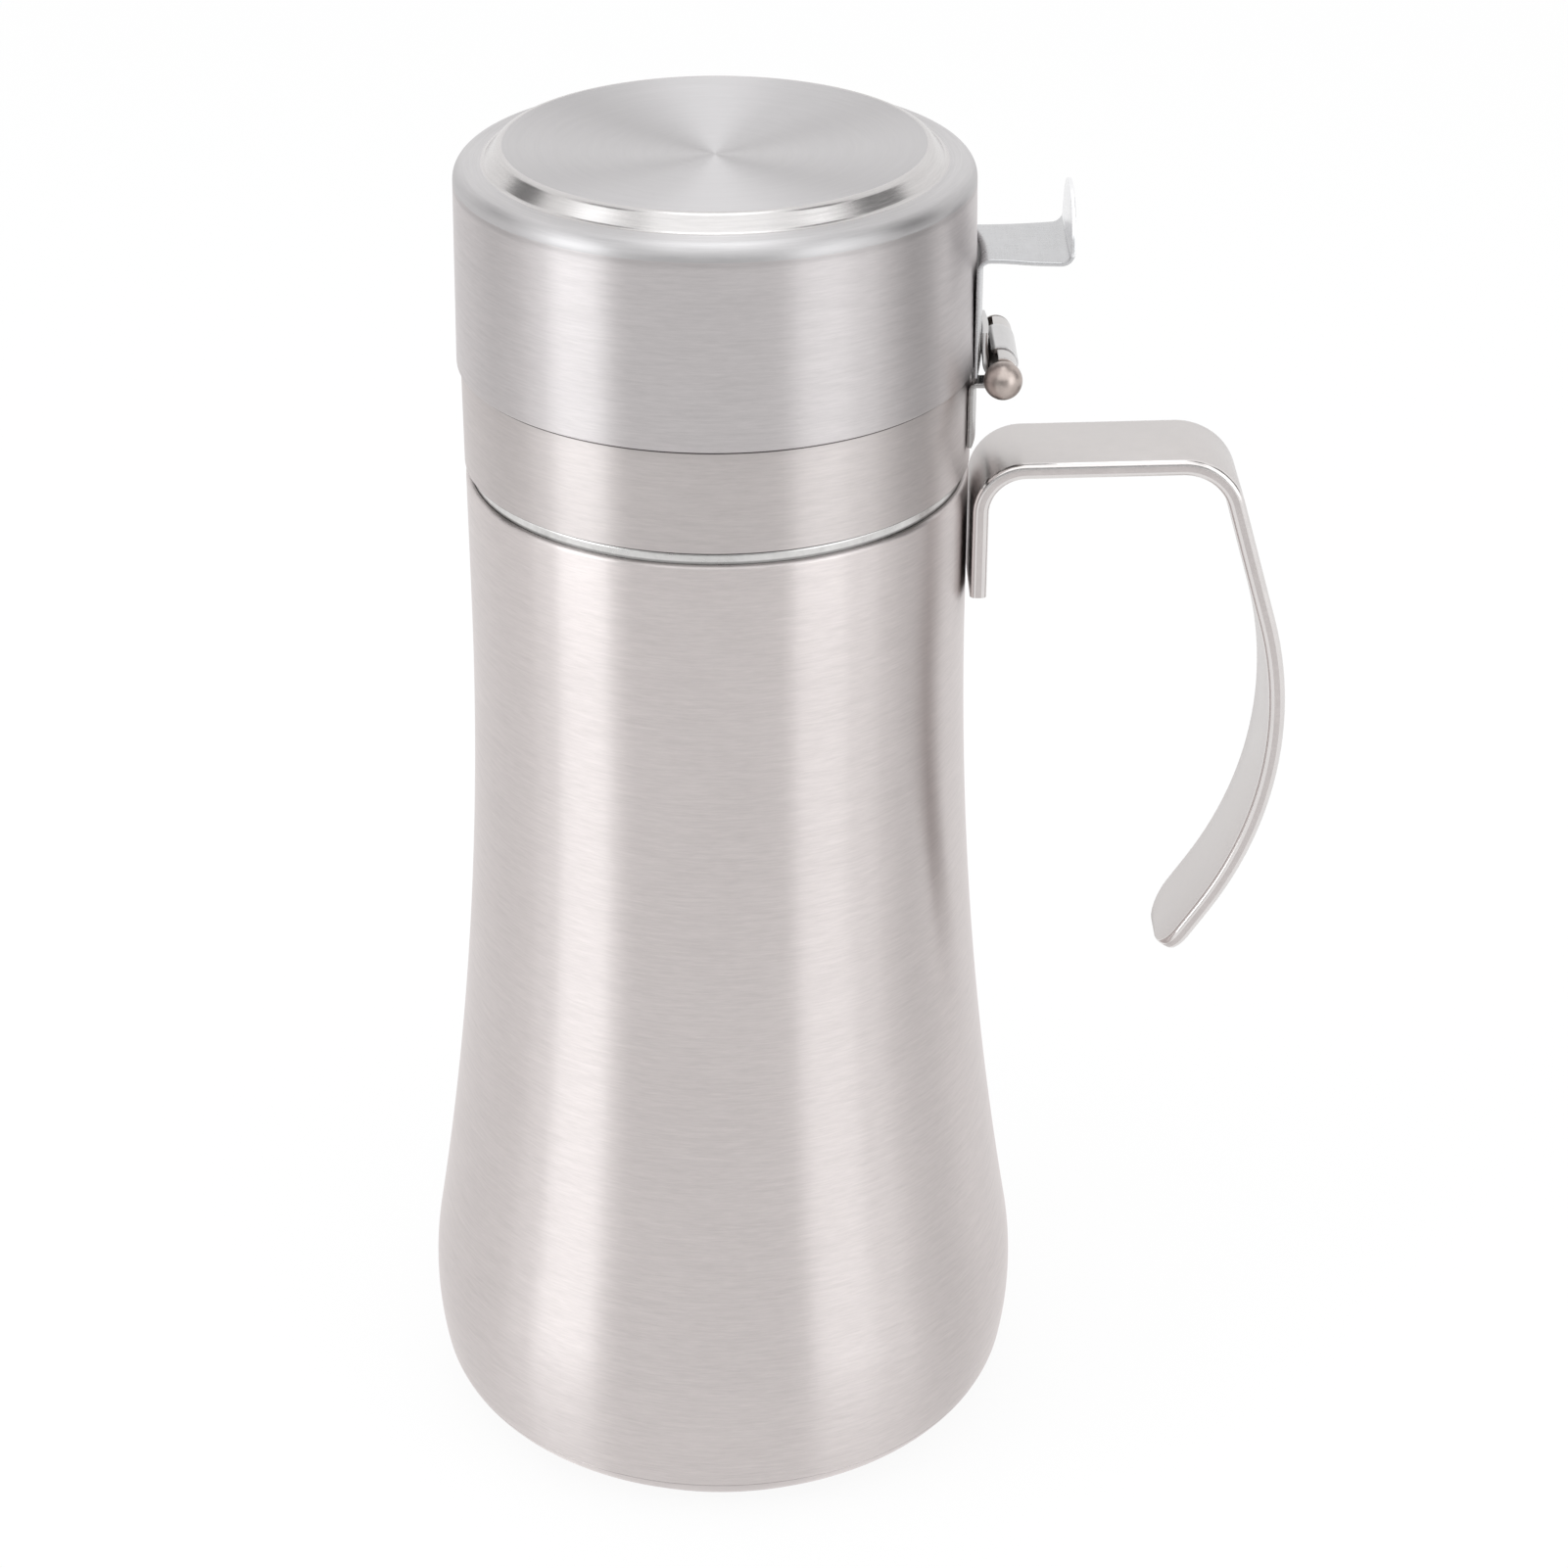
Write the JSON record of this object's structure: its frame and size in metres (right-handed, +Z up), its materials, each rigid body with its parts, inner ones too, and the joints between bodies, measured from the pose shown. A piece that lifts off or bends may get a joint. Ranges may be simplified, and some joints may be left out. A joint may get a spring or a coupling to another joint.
{
  "type": "oil dispenser with hinged lid",
  "caption": "Brushed steel table dispenser for oil: waisted vessel, open strip handle, screw-on head with a pour spout, and a hinged lid opened by a thumb lever.",
  "frame": {"origin": "centre of the foot rim's plane, on the vessel's axis", "axes": "+Z up along the vessel's axis, +X towards the handle and hinge, -X the side it pours from"},
  "size_m": [0.1335, 0.095, 0.2113],
  "materials": {
    "vessel_steel": "fine horizontal brushing",
    "collar_steel": "fine horizontal brushing",
    "lid_steel": "brushed side, spun top",
    "neck_steel": "satin",
    "plate_steel": "satin",
    "handle_steel": "brushed along the strip, polished edges",
    "lever_steel": "fine brushing along the strip",
    "hinge_steel": "polished, with drawing marks",
    "pin_steel": "tumbled",
    "silicone": "translucent white, matt"
  },
  "bodies": {
    "vessel": {"body_shell": "vessel_steel", "base_plate": "vessel_steel", "neck_ring": "neck_steel", "handle": "handle_steel"},
    "neck_seal": {"neck_gasket": "silicone"},
    "head": {"collar": "collar_steel", "thread_sleeve": "neck_steel", "pour_plate": "plate_steel", "pour_spout": "plate_steel", "collar_hinge_leaf": "hinge_steel", "hinge_pin": "pin_steel", "pin_end_cap": "pin_steel"},
    "lid": {"lid_shell": "lid_steel", "stopper_cup": "plate_steel", "spout_stopper": "silicone", "lid_hinge_leaf": "hinge_steel", "thumb_lever": "lever_steel"}
  },
  "joints": [
    {"name": "head_rise", "type": "slide", "parent": "vessel", "child": "neck_seal", "axis": [0, 0, 1], "range_m": [0, 0.006]},
    {"name": "head_turn", "type": "hinge", "parent": "neck_seal", "child": "head", "pos_m": [0, 0, 0.1733], "axis": [0, 0, 1], "range_deg": [0, 540]},
    {"name": "lid_hinge", "type": "hinge", "parent": "head", "child": "lid", "pos_m": [0.0413, 0, 0.1792], "axis": [0, 1, 0], "range_deg": [0, 95]}
  ],
  "couplings": [
    {"joint": "head_rise", "follows": "head_turn", "m_per_rad": 0.0006366}
  ]
}
